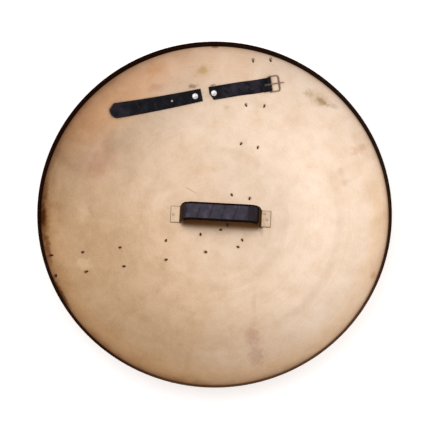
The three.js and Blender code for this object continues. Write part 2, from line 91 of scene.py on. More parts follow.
def frameOnDish(x, y, degrees):
    # rows of the result: along a plan heading, across it, the dish's normal, and the place itself
    radius = math.hypot(x, y)
    slope = float(bowlSlope(radius))
    lean = math.sin(slope) / radius if radius > 0 else 0
    normal = np.array([-lean * x, -lean * y, math.cos(slope)])
    along = heading(degrees)
    along -= normal * along.dot(normal)
    along /= np.linalg.norm(along)
    return np.array([along, np.cross(normal, along), normal, [x, y, float(bowlHeight(radius))]])


def placed(points, frameRows):
    # local x, y, z carried by the frame's three directions, then moved to its place
    return points @ frameRows[:3] + frameRows[3]


def softStep(value, low, high):
    # 0 below low, 1 above high, smooth between
    share = np.clip((value - low) / (high - low), 0, 1)
    return share * share * (3 - 2 * share)


def waves(x, y, length, seed, count=9):
    # a sum of plane waves with random headings and phases, about -1 to 1
    random = np.random.default_rng(seed)
    total = np.zeros(np.broadcast(x, y).shape)
    turns = random.uniform(0, 2 * math.pi, count)
    phases = random.uniform(0, 2 * math.pi, count)
    scales = random.uniform(0.6, 1.6, count)
    for turn, phase, scale in zip(turns, phases, scales):
        run = (x * math.cos(turn) + y * math.sin(turn)) * 2 * math.pi / (length * scale)
        total += np.sin(run + phase)
    return total / count ** 0.5


def gridFaces(rows, columns, closed=False, start=0):
    # the faces of a grid that is round across its columns, and along its rows too if closed
    index = np.arange(rows * columns).reshape(rows, columns) + start
    ahead = np.roll(index, -1, axis=0) if closed else index[1:]
    here = index if closed else index[:-1]
    corners = [here, np.roll(here, -1, axis=1), np.roll(ahead, -1, axis=1), ahead]
    return np.stack(corners, axis=-1).reshape(-1, 4).tolist()


def newMesh(name, points, faces):
    # points in millimetres
    mesh = bpy.data.meshes.new(name)
    mesh.from_pydata((points.reshape(-1, 3) * mm).tolist(), [], faces)
    return mesh


def newObject(name, data):
    item = bpy.data.objects.new(name, data)
    bpy.context.scene.collection.objects.link(item)
    return item


def cleaned(mesh, distance):
    # doubles merged and faces turned outwards
    work = bmesh.new()
    work.from_mesh(mesh)
    bmesh.ops.remove_doubles(work, verts=work.verts, dist=distance)
    bmesh.ops.recalc_face_normals(work, faces=work.faces)
    work.to_mesh(mesh)
    work.free()


def joined(name, grids, material, body, replaced, data=None):
    # several grids, each round across its columns, in one smooth mesh; rows that shrink to one point
    # close a grid's ends, and data gives every point of a single grid a value
    points, faces, start = [], [], 0
    for grid, closed in grids:
        faces += gridFaces(*grid.shape[:2], closed, start)
        points.append(grid.reshape(-1, 3))
        start += len(points[-1])
    mesh = newMesh(name, np.concatenate(points), faces)
    for label, values in (data or {}).items():
        values = np.broadcast_to(values, grids[0][0].shape[:2]).reshape(-1).astype(np.float32)
        mesh.attributes.new(label, "FLOAT", "POINT").data.foreach_set("value", values)
    cleaned(mesh, 1e-6)
    mesh.polygons.foreach_set("use_smooth", [True] * len(mesh.polygons))
    mesh.materials.append(material)
    piece = newObject(name, mesh)
    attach(piece, body)
    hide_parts(*replaced)
    return piece


def surface(name, grid, material, body, replaced, closed=False, data=None):
    return joined(name, [(grid, closed)], material, body, replaced, data)


def capped(rings):
    # a first and a last ring that shrink to their own middle
    first = np.broadcast_to(rings[0].mean(0), rings[0].shape)
    last = np.broadcast_to(rings[-1].mean(0), rings[-1].shape)
    return np.concatenate([first[None], rings, last[None]])


def turned(profile, around, frameRows=None):
    # each point of a radius and height profile carried round the z axis
    turn = np.linspace(0, 2 * math.pi, around, endpoint=False)
    radius, height = np.asarray(profile, float).T
    grid = np.stack([radius[:, None] * np.cos(turn), radius[:, None] * np.sin(turn),
                     np.broadcast_to(height[:, None], (len(height), around))], axis=-1)
    return grid if frameRows is None else placed(grid, frameRows)


def curved(start, corner, end, share):
    # a quadratic curve from start to end that leaves and arrives along the corner's two legs
    return (1 - share) ** 2 * start + 2 * share * (1 - share) * corner + share ** 2 * end


def smoothCorners(path, radius, steps=8):
    # each inner corner of a path becomes a quadratic curve that starts a tangent's length before it
    path = [np.asarray(point, float) for point in path]
    points = [path[0]]
    for before, corner, after in zip(path, path[1:], path[2:]):
        back = (before - corner) / np.linalg.norm(before - corner)
        ahead = (after - corner) / np.linalg.norm(after - corner)
        turn = math.pi - math.acos(np.clip(back.dot(ahead), -1, 1))
        reach = radius * math.tan(turn / 2)
        share = np.linspace(0, 1, steps + 1)[:, None]
        points += list(curved(corner + back * reach, corner, corner + ahead * reach, share))
    return np.array(points + [path[-1]])


def evenly(path, step):
    # the same path with points at even distances
    lengths = np.concatenate([[0], np.cumsum(np.linalg.norm(np.diff(path, axis=0), axis=1))])
    places = np.linspace(0, lengths[-1], max(2, int(round(lengths[-1] / step)) + 1))
    return np.stack([np.interp(places, lengths, path[:, i]) for i in range(path.shape[1])], axis=-1), places


def directions(path):
    # the unit tangent at every point of a path
    way = np.gradient(path, axis=0)
    return way / np.linalg.norm(way, axis=1)[:, None]


def arcPoints(x, y, radius, first, last, count):
    # a circle's arc between two angles in degrees
    turn = np.radians(np.linspace(first, last, count))
    return np.stack([x + radius * np.cos(turn), y + radius * np.sin(turn)], axis=-1)


def boxSections(left, right, low, high, radius, corner, flats, notch=0):
    # per row: a box between two edges and two faces, with quarter-circle corners and extra points
    # along its flats; the notch draws the second extra point of each edge in
    arcs = []
    for side, face, a, b, start in ((left, high, 1, 1, 0), (right, high, -1, 1, 90),
                                    (right, low, -1, -1, 180), (left, low, 1, -1, 270)):
        turn = np.radians(np.linspace(start, start + 90, corner))
        arcs.append(np.stack([(side - a * radius)[:, None] + radius[:, None] * np.cos(turn),
                              (face - b * radius)[:, None] + radius[:, None] * np.sin(turn)], axis=-1))
    points = []
    for i, arc in enumerate(arcs):
        after = arcs[(i + 1) % 4][:, :1]
        share = np.linspace(0, 1, flats[i % 2] + 2)[1:-1, None]
        fill = arc[:, -1:] + (after - arc[:, -1:]) * share[None]
        if i % 2:
            fill[:, 1, 0] += (2 - i) * notch
        points += [arc, fill]
    return np.concatenate(points, axis=1)


def roundedBox(width, thickness, radius, corner, flats):
    # one such section about its own middle
    sides = (width / 2, -width / 2, -thickness / 2, thickness / 2, radius)
    return boxSections(*[np.array([side]) for side in sides], corner, flats)[0]


# Nails: a flat head with a soft edge on the front, a round shank, and a point bent over on the back
nailShape = {"headRadius": 3.8, "headHeight": 1.4, "edge": 0.55, "rim": 0.15, "shank": 1.3, "rise": 1.7,
             "reach": 4.8, "bend": 0.9, "pointFrom": 0.62, "around": 20}


def nailFrame(node):
    # the head's foot is the lowest ring along the dish's normal; the point is what lies farthest
    # from the shank on the hollow side
    count = len(node.data.vertices)
    points = np.empty(count * 3)
    node.data.vertices.foreach_get("co", points)
    points = points.reshape(-1, 3) / mm
    middle = (points.min(0) + points.max(0)) / 2
    footDepth, bentHeight = 0.05, 4
    for _ in range(2):
        normal = frameOnDish(middle[0], middle[1], 0)[2]
        along = points @ normal
        foot = points[along < along.min() + footDepth]
        middle = (foot.min(0) + foot.max(0)) / 2
    upper = points[along > along.max() - bentHeight] - middle
    sideways = upper - np.outer(upper @ normal, normal)
    tip = sideways[np.argmax(np.linalg.norm(sideways, axis=1))]
    tip /= np.linalg.norm(tip)
    return np.array([tip, np.cross(normal, tip), normal, middle])


nailNodes = {name: node for name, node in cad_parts.items() if name.startswith("band_nail")}
nailFrames = {name: nailFrame(node) for name, node in sorted(nailNodes.items())}


# Shader parts

def feed(tree, node, values):
    # each input linked to a socket, or set to a plain value
    for key, value in values.items():
        if isinstance(value, bpy.types.NodeSocket):
            tree.links.new(value, node.inputs[key])
        else:
            node.inputs[key].default_value = value
    return node


def put(tree, kind, values=None, **settings):
    node = tree.nodes.new("ShaderNode" + kind)
    for key, value in settings.items():
        setattr(node, key, value)
    return feed(tree, node, values or {})


def maths(tree, operation, a, b=0.0):
    return put(tree, "Math", {0: a, 1: b}, operation=operation).outputs[0]


def plus(tree, total, *others):
    for other in others:
        total = maths(tree, "ADD", total, other)
    return total


def times(tree, product, *others):
    for other in others:
        product = maths(tree, "MULTIPLY", product, other)
    return product


def minus(tree, a, b):
    return maths(tree, "SUBTRACT", a, b)


def swing(tree, value, size):
    # a value of 0 to 1 made to swing about 0
    return times(tree, minus(tree, value, 0.5), size)


def mixed(tree, share, a, b, blend="MIX"):
    return put(tree, "Mix", {0: share, 6: a, 7: b}, data_type="RGBA", blend_type=blend).outputs[2]


def tinted(tree, share, colour, tint):
    # what is left of the colour's red, green and blue
    return mixed(tree, share, colour, (*tint, 1), "MULTIPLY")


def ramped(tree, value, low, high, start=0.0, end=1.0):
    return put(tree, "MapRange", {0: value, 1: low, 2: high, 3: start, 4: end},
               interpolation_type="SMOOTHSTEP").outputs[0]


def noise(tree, place, scale, detail=4.0, roughness=0.55, distortion=0.0):
    return put(tree, "TexNoise", {"Vector": place, "Scale": scale, "Detail": detail, "Roughness": roughness,
                                  "Distortion": distortion}).outputs[0]


def painted(tree, name):
    # a value that the mesh carries at its points
    return put(tree, "Attribute", attribute_name=name).outputs["Fac"]


def newGroup(name, inputs, outputs):
    tree = bpy.data.node_groups.new(name, "ShaderNodeTree")
    for label, kind, value in inputs:
        socket = tree.interface.new_socket(label, in_out="INPUT", socket_type="NodeSocket" + kind)
        socket.default_value = value
    for label, kind in outputs:
        tree.interface.new_socket(label, in_out="OUTPUT", socket_type="NodeSocket" + kind)
    return tree, tree.nodes.new("NodeGroupInput").outputs, tree.nodes.new("NodeGroupOutput")


def placeGroup(tree, group, values):
    return put(tree, "Group", values, node_tree=group).outputs


def newMaterial(name):
    material = bpy.data.materials.new(name)
    material.use_nodes = True
    tree = material.node_tree
    shader = next(node for node in tree.nodes if node.type == "BSDF_PRINCIPLED")
    return material, tree, shader, tree.nodes.new("ShaderNodeTexCoord").outputs["Object"]


def bumped(tree, height, distance):
    return put(tree, "Bump", {"Height": height, "Distance": distance, "Strength": 1.0}).outputs[0]


def seenFrom(tree, place, turn, middle=(0, 0, 0)):
    # the place in a frame that is turned about its own middle
    return put(tree, "Mapping", {"Vector": place, "Location": middle, "Rotation": turn},
               vector_type="TEXTURE").outputs[0]


# A spot mask for stains and painted shade: 1 in the middle of a turned oval, falling off unevenly to 0 at its
# edge
def makeStainGroup():
    tree, given, result = newGroup("stainAndShadeSpot", [
        ("Place", "Vector", (0, 0, 0)), ("Centre X", "Float", 0.0), ("Centre Y", "Float", 0.0),
        ("Length", "Float", 0.02), ("Width", "Float", 0.01), ("Turn", "Float", 0.0),
        ("Ragged", "Float", 0.35)], [("Mask", "Float")])
    parts = put(tree, "SeparateXYZ", {0: given["Place"]}).outputs
    x = minus(tree, parts[0], given["Centre X"])
    y = minus(tree, parts[1], given["Centre Y"])
    cosine = maths(tree, "COSINE", given["Turn"])
    sine = maths(tree, "SINE", given["Turn"])
    along = plus(tree, times(tree, x, cosine), times(tree, y, sine))
    across = minus(tree, times(tree, y, cosine), times(tree, x, sine))
    along = maths(tree, "DIVIDE", along, given["Length"])
    across = maths(tree, "DIVIDE", across, given["Width"])
    far = maths(tree, "SQRT", plus(tree, times(tree, along, along), times(tree, across, across)))
    uneven = swing(tree, noise(tree, given["Place"], 160.0, 5.0, 0.65), times(tree, given["Ragged"], 4.0))
    feed(tree, result, {"Mask": ramped(tree, plus(tree, far, uneven), 1.0, 0.25)})
    return tree


# Worn metal: cloudy tone from a light and a dark colour, fine scratches and pits
def makeWornMetalGroup():
    tree, given, result = newGroup("wornMetal", [
        ("Place", "Vector", (0, 0, 0)), ("Light", "Color", (1, 1, 1, 1)), ("Dark", "Color", (0, 0, 0, 1)),
        ("Cloud Size", "Float", 0.05), ("Roughness", "Float", 0.4)],
        [("Color", "Color"), ("Roughness", "Float"), ("Height", "Float")])
    clouds = noise(tree, given["Place"], maths(tree, "DIVIDE", 1.0, given["Cloud Size"]), 7.0, 0.62, 0.3)
    specks = noise(tree, given["Place"], 420.0, 4.0, 0.65)
    brushed = put(tree, "Mapping", {"Vector": given["Place"], "Rotation": (0, 0, 0.5),
                                    "Scale": (900.0, 110.0, 400.0)}).outputs[0]
    grain = noise(tree, brushed, 1.0, 2.0, 0.5)
    tone = plus(tree, times(tree, clouds, 0.55), times(tree, specks, 0.32), times(tree, grain, 0.13))
    feed(tree, result, {
        "Color": mixed(tree, ramped(tree, tone, 0.34, 0.72), given["Light"], given["Dark"]),
        "Roughness": plus(tree, given["Roughness"], swing(tree, tone, 0.3)),
        "Height": plus(tree, times(tree, specks, 0.5), grain)})
    return tree


# Leather: fine pores, longer creases across the strap, and a worn tone
def makeLeatherGroup():
    tree, given, result = newGroup("creasedLeather", [
        ("Place", "Vector", (0, 0, 0)), ("Turn", "Float", 0.0), ("Light", "Color", (1, 1, 1, 1)),
        ("Dark", "Color", (0, 0, 0, 1)), ("Roughness", "Float", 0.45)],
        [("Color", "Color"), ("Roughness", "Float"), ("Height", "Float")])
    turn = put(tree, "CombineXYZ", {2: given["Turn"]}).outputs[0]
    along = seenFrom(tree, given["Place"], turn)
    stretched = put(tree, "Mapping", {"Vector": along, "Scale": (260.0, 60.0, 120.0)}).outputs[0]
    creases = noise(tree, stretched, 1.0, 5.0, 0.6, 0.6)
    folds = ramped(tree, maths(tree, "ABSOLUTE", minus(tree, creases, 0.5)), 0.0, 0.09)
    pores = put(tree, "TexVoronoi", {"Vector": given["Place"], "Scale": 1100.0}, feature="F1").outputs[0]
    clouds = noise(tree, given["Place"], 90.0, 5.0, 0.6)
    worn = times(tree, ramped(tree, clouds, 0.4, 0.72), plus(tree, 0.35, times(tree, folds, 0.65)))
    feed(tree, result, {
        "Color": mixed(tree, worn, given["Dark"], given["Light"]),
        "Roughness": plus(tree, given["Roughness"], swing(tree, clouds, 0.4)),
        "Height": plus(tree, times(tree, folds, 0.8), times(tree, pores, 0.35))})
    return tree


stainAndShadeSpot = makeStainGroup()
wornMetal = makeWornMetalGroup()
creasedLeather = makeLeatherGroup()
print("shader groups made")


# Stains and patches of painted shade on the hollow side, each with its plan place, half length and half width
# in millimetres, turn in degrees, raggedness, and what is left of the brass's red, green and blue in it
stainsAndShade = {
    "oliveSmudge": (188, 202, 17, 7, -30, 0.3, (0.62, 0.56, 0.46)),
    "oliveSmudgeHalo": (183, 206, 36, 15, -31, 0.3, (0.86, 0.83, 0.78)),
    "oliveSmudgeUpper": (165, 218, 15, 9, -20, 0.35, (0.8, 0.79, 0.71)),
    "oliveSmudgeTail": (208, 193, 14, 6, -25, 0.35, (0.8, 0.78, 0.76)),
    "oliveSpot": (-21, 261, 12, 9, 20, 0.4, (0.84, 0.79, 0.64)),
    "oliveSpotHalo": (-20, 260, 26, 16, 10, 0.4, (0.9, 0.87, 0.78)),
    "orangeUpper": (-105, 259, 22, 13, 10, 0.5, (1.0, 0.92, 0.84)),
    "brownRight": (251, 116, 20, 12, 20, 0.5, (0.88, 0.79, 0.73)),
    "greyRight": (219, 80, 11, 7, 60, 0.35, (0.92, 0.9, 0.92)),
    "greyRightLow": (229, 60, 16, 8, 15, 0.4, (0.9, 0.88, 0.9)),
    "brownRightLow": (271, -110, 10, 7, 68, 0.35, (0.84, 0.74, 0.64)),
    "smudgeOverGrip": (21, 199, 8, 5, 10, 0.35, (0.88, 0.86, 0.84)),
    "brownOverGrip": (-17, 88, 30, 13, 5, 0.35, (0.97, 0.94, 0.88)),
    "darkScrape": (-40, 50, 18, 1.8, -31, 0.12, (0.8, 0.74, 0.7)),
    "columnTop": (68, -150, 34, 7, 88, 0.35, (0.93, 0.92, 0.92)),
    "columnMiddle": (65, -210, 26, 16, 94, 0.45, (0.92, 0.88, 0.89)),
    "columnLow": (71, -247, 24, 16, 100, 0.45, (0.92, 0.88, 0.89)),
    "columnHalo": (69, -225, 60, 20, 95, 0.35, (0.92, 0.88, 0.88)),
    "smudgeOverStrap": (-101, 231, 24, 9, 12, 0.45, (0.9, 0.83, 0.87)),
    "smudgeByRivet": (-38, 235, 11, 6, 12, 0.4, (0.42, 0.39, 0.37)),
    "smudgeByRivetInside": (-37, 237, 7.5, 4, 12, 0.2, (1.7, 1.7, 1.65)),
    "smudgeByRoot": (-3, 236.5, 7, 3, 12, 0.25, (0.45, 0.42, 0.42)),
    "edgeStain": (1, 299, 9, 3, 0, 0.25, (0.55, 0.4, 0.33)),
    "brownUpperLeft": (-172, 206, 190, 58, 40, 0.1, (1.1, 1.0, 0.9)),
    "purpleLeft": (-205, 95, 62, 42, 60, 0.4, (1.04, 0.94, 0.95)),
    "paleLeft": (-224, -86, 18, 14, 0, 0.35, (1.18, 1.26, 1.36)),
    "paleLeftUpper": (-228, 6, 20, 13, 90, 0.35, (1.08, 1.13, 1.2)),
    "patinaUpper": (-293, 40, 40, 7, 82, 0.3, (0.7, 0.6, 0.52)),
    "patinaMiddle": (-296, -6, 30, 8, 90, 0.22, (0.34, 0.21, 0.12)),
    "patinaMiddleHalo": (-293, -14, 55, 12, 92, 0.3, (0.72, 0.6, 0.48)),
    "patinaLower": (-287, -60, 36, 7, 102, 0.35, (0.58, 0.45, 0.34)),
    "patinaLowest": (-262, -142, 40, 6, 119, 0.3, (0.45, 0.32, 0.22)),
    # painted shadow at the foot of the grip's right leg, and its soft tail below
    "legShade": (81, -15, 6, 5, -20, 0.1, (0.3, 0.22, 0.16)),
    "legShadowTail": (81.5, -23, 13, 5, 96, 0.2, (0.84, 0.8, 0.78)),
    # painted shade on the dish under the long strap, seen through its middle and outer holes
    "shadeUnderHoleMiddle": (-104.4, 203, 7, 6, 0, 0.2, (0.1, 0.08, 0.08)),
    "shadeUnderHoleOuter": (-133.7, 197, 7, 6, 0, 0.2, (0.1, 0.08, 0.08)),
    # painted shade on the dish under the buckle strap's slot
    "shadeUnderSlot": (91, 235, 11, 5, 8.8, 0.1, (0.2, 0.2, 0.24)),
}
# Painted shadow of the grip: a browned band on the dish below its wrap; each half ends at the
# first number and is full inside the second
gripShadow = {"centre": (11.0, -8.2), "turn": -3.1, "halfLength": (72, 63), "halfWidth": (13.5, 2.5),
             "tint": (0.42, 0.26, 0.14)}
# The faint wide rings left by spinning: radius and half width in metres, strength, and colour
spunLight, spunDark = (0.93, 0.77, 0.6, 1), (0.36, 0.23, 0.13, 1)
spunRings = {
    "inner": (0.108, 0.007, 0.12, spunLight),
    "innerDark": (0.125, 0.010, 0.09, spunDark),
    "middle": (0.153, 0.009, 0.08, spunLight),
    "outerDark": (0.218, 0.014, 0.12, spunDark),
    "outer": (0.242, 0.009, 0.10, spunLight),
}
# The dish's brass: the light and the dark of its mottling, then what its edge, lip and outside add, partly
# painted shade;
# places in metres, and each zone's tint with its limits in radius, height and across
dishFinish = {
    "creamy": ((0.87, 0.69, 0.55, 1), (0.78, 0.57, 0.4, 1)),
    "brown": ((0.64, 0.42, 0.25, 1), (0.5, 0.3, 0.15, 1)),
    "creamyWay": (0.85, 0.45),
    "creamyToBrown": (0.16, -0.27),
    "cloud": 0.035,
    "roughness": 0.43,
    "fineRings": 420.0,
    "fineTint": (0.38, 0.24, 0.13, 1),
    "edgeTarnishAndShadeRadii": (0.274, 0.303),
    "edgeTarnishAndShadeTint": (0.3, 0.15, 0.07, 1),
    "creaseShadeRadii": (0.289, 0.301),
    "creaseShadeTint": (0.2, 0.075, 0.03, 1),
    "zones": (((0.99, 0.92, 0.82), (0.255, 0.285), (0.14, 0.0)),
              ((1.15, 1.03, 0.94), (0.21, 0.28), (0.04, 0.19), (0.15, -0.05))),
    "outsideTint": (0.6, 0.5, 0.4),
    "nailDarkening": (0.0043, 0.0012, 0.0, 0.65),
    "nailTint": (0.3, 0.2, 0.1),
    "lipShadeBrown": (0.11, 0.062, 0.035, 1),
    "lipShadeDark": (0.02, 0.005, 0.002, 1),
    "bump": 0.00012,
}


def makeDishMaterial():
    # soft spun rings, mottling, stains and painted shade on brass: browner to the left and below, partly
    # tarnish and partly painted shade, a painted grip shadow, and painted shade and dark reflection up the
    # lip
    f = dishFinish
    material, tree, shader, place = newMaterial("spunBrass")
    parts = put(tree, "SeparateXYZ", {0: place}).outputs
    x, y = parts[0], parts[1]
    radius = maths(tree, "SQRT", plus(tree, times(tree, x, x), times(tree, y, y)))
    hollow = painted(tree, "hollowSide")
    # creamy to the right and above, brown to the left and below: partly tarnish, partly painted shade on the
    # side away from the light
    wander = swing(tree, noise(tree, place, 7.0, 4.0), 0.14)
    lean = plus(tree, times(tree, x, f["creamyWay"][0]), times(tree, y, f["creamyWay"][1]), wander)
    tarnishAndShade = ramped(tree, lean, *f["creamyToBrown"])
    light, dark = [mixed(tree, tarnishAndShade, creamy, brown) for creamy, brown in zip(f["creamy"], f["brown"])]
    worn = placeGroup(tree, wornMetal, {
        "Place": place, "Light": light, "Dark": dark, "Cloud Size": f["cloud"], "Roughness": f["roughness"]})
    # spun rings, fine ones all over and a few wide faint ones that come and go
    fine = put(tree, "TexNoise", {"W": times(tree, radius, f["fineRings"]), "Scale": 1.0, "Detail": 3.0},
               noise_dimensions="1D").outputs[0]
    colour = mixed(tree, ramped(tree, fine, 0.42, 0.7, 0.0, 0.05), worn["Color"], f["fineTint"])
    broken = ramped(tree, noise(tree, place, 7.0, 3.0), 0.4, 0.62, 0.1, 1.0)
    for reach, half, strength, tint in spunRings.values():
        far = maths(tree, "ABSOLUTE", minus(tree, radius, reach))
        colour = mixed(tree, times(tree, ramped(tree, far, half, 0.0, 0.0, strength), broken), colour, tint)
    # browned edge, more orange below and redder above to the left: partly tarnish, partly painted shade near
    # the lip
    edge = ramped(tree, plus(tree, radius, times(tree, wander, 0.1)), *f["edgeTarnishAndShadeRadii"])
    edge = times(tree, edge, plus(tree, 0.08, times(tree, tarnishAndShade, 0.42)))
    colour = mixed(tree, edge, colour, f["edgeTarnishAndShadeTint"])
    for tint, *limits in f["zones"]:
        shares = [ramped(tree, value, *pair) for value, pair in zip((radius, y, x), limits)]
        colour = tinted(tree, times(tree, *shares), colour, tint)
    # a narrow redder line along the lip's foot: painted shade in the crease
    blotch = noise(tree, place, 24.0, 5.0, 0.6)
    foot = ramped(tree, plus(tree, radius, swing(tree, blotch, 0.02)), *f["creaseShadeRadii"])
    foot = times(tree, foot, plus(tree, 0.2, times(tree, tarnishAndShade, 0.4)))
    colour = mixed(tree, foot, colour, f["creaseShadeTint"])
    for middleX, middleY, long, wide, turn, ragged, tint in stainsAndShade.values():
        mask = placeGroup(tree, stainAndShadeSpot, {
            "Place": place, "Centre X": middleX * mm, "Centre Y": middleY * mm, "Length": long * mm,
            "Width": wide * mm, "Turn": math.radians(turn), "Ragged": ragged})["Mask"]
        colour = tinted(tree, times(tree, mask, hollow), colour, tint)
    # the grip's painted shadow on the dish below its wrap
    g = gripShadow
    middle = (g["centre"][0] * mm, g["centre"][1] * mm, 0)
    local = seenFrom(tree, place, (0, 0, math.radians(g["turn"])), middle)
    local = put(tree, "SeparateXYZ", {0: local}).outputs
    along, across = [ramped(tree, maths(tree, "ABSOLUTE", way), clear * mm, solid * mm)
                     for way, (clear, solid) in zip(local, (g["halfLength"], g["halfWidth"]))]
    colour = tinted(tree, times(tree, along, across, hollow), colour, g["tint"])
    colour = tinted(tree, minus(tree, 1.0, hollow), colour, f["outsideTint"])
    # olive darkening round every nail point, centred under its bent shank
    nearest = 1.0
    for rows in nailFrames.values():
        point = rows[3] + rows[0] * nailShape["reach"] / 2
        point[2] = bowlHeight(math.hypot(point[0], point[1]))
        away = put(tree, "VectorMath", {0: place, 1: tuple(point * mm)}, operation="DISTANCE")
        nearest = maths(tree, "MINIMUM", nearest, away.outputs["Value"])
    nailDark = ramped(tree, plus(tree, nearest, swing(tree, blotch, 0.004)), *f["nailDarkening"])
    colour = tinted(tree, times(tree, nailDark, hollow), colour, f["nailTint"])
    # painted shade and dark reflection up the lip: nearly black above and to the left, brown below
    low = minus(tree, y, times(tree, x, 0.35))
    lipShadeColour = mixed(tree, ramped(tree, low, -0.29, -0.17), f["lipShadeBrown"], f["lipShadeDark"])
    lip = plus(tree, painted(tree, "lipShadeShare"), wander, times(tree, minus(tree, y, x), 0.6))
    lip = ramped(tree, lip, 0.1, 0.5)
    height = plus(tree, worn["Height"], times(tree, fine, 0.35))
    feed(tree, shader, {
        "Base Color": mixed(tree, lip, colour, lipShadeColour), "Metallic": 1.0,
        "Roughness": plus(tree, worn["Roughness"], times(tree, lip, 0.2)),
        "Normal": bumped(tree, height, f["bump"])})
    return material


def makeMetal(name, light, dark, roughness, metallic=1.0, cloud=0.02, brown=None):
    material, tree, shader, place = newMaterial(name)
    worn = placeGroup(tree, wornMetal, {"Place": place, "Light": (*light, 1), "Dark": (*dark, 1),
                                        "Cloud Size": cloud, "Roughness": roughness})
    feed(tree, shader, {"Base Color": worn["Color"], "Metallic": metallic, "Roughness": worn["Roughness"],
                        "Normal": bumped(tree, worn["Height"], 0.00008)})
    if brown:
        # a dull brown, with neither the metal's shine nor any sheen: on the grip, painted shade up its legs
        # and along its feet's edges, and brown rings round its welds
        share = painted(tree, "shadeAndGrimeShare")
        feed(tree, shader, {
            "Base Color": mixed(tree, share, worn["Color"], (*brown, 1)),
            "Metallic": minus(tree, metallic, share),
            "Specular IOR Level": times(tree, minus(tree, 1.0, share), 0.5)})
    return material


def makeLeather(name, light, dark, roughness, turn, edge, bump=0.0002, shine=0.15, worn=None):
    material, tree, shader, place = newMaterial(name)
    hide = placeGroup(tree, creasedLeather, {
        "Place": place, "Turn": math.radians(turn), "Light": (*light, 1), "Dark": (*dark, 1),
        "Roughness": roughness})
    colour = hide["Color"]
    if worn:
        # painted sheen: lighter in patches, towards the right and at the far left end
        across = put(tree, "SeparateXYZ", {0: place}).outputs[0]
        paintedSheen = maths(tree, "MAXIMUM", ramped(tree, across, 0.0, 0.03),
                       ramped(tree, across, -0.14, -0.165, 0.0, 0.6))
        sheenPatches = ramped(tree, noise(tree, place, 75.0, 5.0, 0.6), 0.4, 0.6, 0.1, 1.2)
        paintedSheen = times(tree, paintedSheen, ramped(tree, across, 0.083, 0.077), sheenPatches)
        colour = mixed(tree, paintedSheen, colour, (*worn, 1), "ADD")
    # dark cut edges on the straps; on the wrap the same value is painted shade along its sides, seams and
    # ends
    cut = painted(tree, "cutEdgeAndShade")
    feed(tree, shader, {
        "Base Color": mixed(tree, cut, colour, (*edge, 1)), "Roughness": hide["Roughness"],
        "Specular IOR Level": times(tree, minus(tree, 1.0, cut), shine),
        "Normal": bumped(tree, hide["Height"], bump)})
    return material


dishBrass = makeDishMaterial()
# the grip's brown is painted shade on its legs and along its feet's edges
gripBrass = makeMetal("gripBrass", (0.77, 0.57, 0.41), (0.6, 0.41, 0.27), 0.42, brown=(0.07, 0.04, 0.018))
bandBronze = makeMetal("bandBronze", (0.52, 0.34, 0.17), (0.2, 0.11, 0.05), 0.42, cloud=0.05)
nailBrown = makeMetal("nailBrown", (0.075, 0.04, 0.016), (0.03, 0.016, 0.007), 0.6, metallic=0.5, cloud=0.004)
rivetNickel = makeMetal("rivetNickel", (0.92, 0.9, 0.88), (0.7, 0.67, 0.63), 0.2, cloud=0.006)
# nickel-plated buckle with a reddish brown base: painted reflection of the brass and the dark round it
nickelWithPaintedReflection = makeMetal("nickelWithPaintedReflection", (0.42, 0.28, 0.22), (0.14, 0.06, 0.04), 0.3, cloud=0.004)
# the strap's lighter worn colour is its painted sheen
strapLeather = makeLeather("strapLeather", (0.018, 0.017, 0.027), (0.003, 0.0025, 0.005), 0.42, 10,
                           (0.03, 0.009, 0.006), shine=0.11, worn=(0.019, 0.0145, 0.021))
# the wrap's edge colour is its painted shade
wrapLeather = makeLeather("wrapLeather", (0.095, 0.08, 0.12), (0.045, 0.037, 0.053), 0.4, 5,
                          (0.013, 0.007, 0.005), bump=0.00012)
print("materials made")


